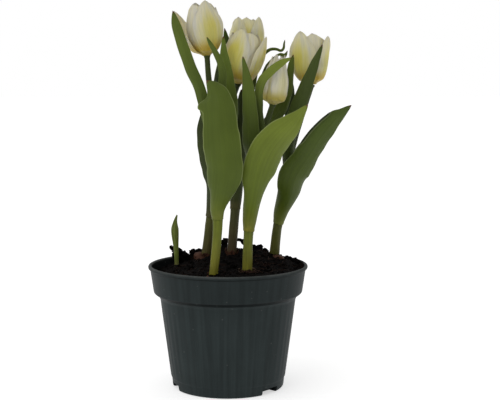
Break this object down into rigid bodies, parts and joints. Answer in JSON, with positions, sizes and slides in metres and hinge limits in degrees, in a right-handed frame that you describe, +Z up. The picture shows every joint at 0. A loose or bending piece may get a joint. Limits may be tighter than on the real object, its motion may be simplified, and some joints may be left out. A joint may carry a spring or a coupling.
{
  "type": "potted tulip",
  "caption": "Potted tulips: a tapered round plastic nursery pot with a deep rim, filled with peat, holding upright leafy tulip plants with cup-shaped cream blooms.",
  "frame": {"origin": "centre of the pot at the level of the surface it stands on", "axes": "+Z up along the pot axis; the front, from which most leaves and blooms are seen, looks along -Y; +X to the right as seen from the front"},
  "size_m": [0.166, 0.131, 0.3138],
  "materials": {
    "pot_plastic": "dark anthracite moulded plastic, satin",
    "peat": "dark fibrous peat, rough",
    "bulb_tunic": "papery brown skin",
    "stem_green": "smooth green skin, slightly waxy",
    "stem_dark": "smooth purple-brown skin, slightly waxy",
    "leaf_green": "waxy, parallel veins",
    "leaf_bright": "waxy, parallel veins",
    "leaf_dark": "waxy, parallel veins",
    "petal_cream": "silky, cream with a yellow base",
    "bud_gold": "silky, yellow with a green flame"
  },
  "bodies": {
    "root": {"pot": "pot_plastic", "soil": "peat", "bulb_a": "bulb_tunic", "stem_a": "stem_green", "bulb_b": "bulb_tunic", "stem_b": "stem_green", "bulb_c": "bulb_tunic", "stem_c": "stem_dark", "bulb_d": "bulb_tunic", "stem_d": "stem_green", "bulb_e": "bulb_tunic", "stem_e": "stem_green", "leaf_a1": "leaf_dark", "leaf_a2": "leaf_dark", "leaf_a3": "leaf_dark", "leaf_b1": "leaf_green", "leaf_b2": "leaf_dark", "leaf_b3": "leaf_dark", "leaf_c1": "leaf_dark", "leaf_c2": "leaf_dark", "leaf_c3": "leaf_dark", "leaf_c4": "leaf_dark", "leaf_d1": "leaf_bright", "leaf_d2": "leaf_dark", "leaf_d3": "leaf_dark", "leaf_e1": "leaf_green", "leaf_e2": "leaf_dark", "leaf_e3": "leaf_dark", "bloom_a": "petal_cream", "bloom_b": "petal_cream", "bloom_c": "petal_cream", "bud_d": "bud_gold", "bloom_e": "petal_cream", "shoot": "leaf_bright"}
  },
  "joints": []
}
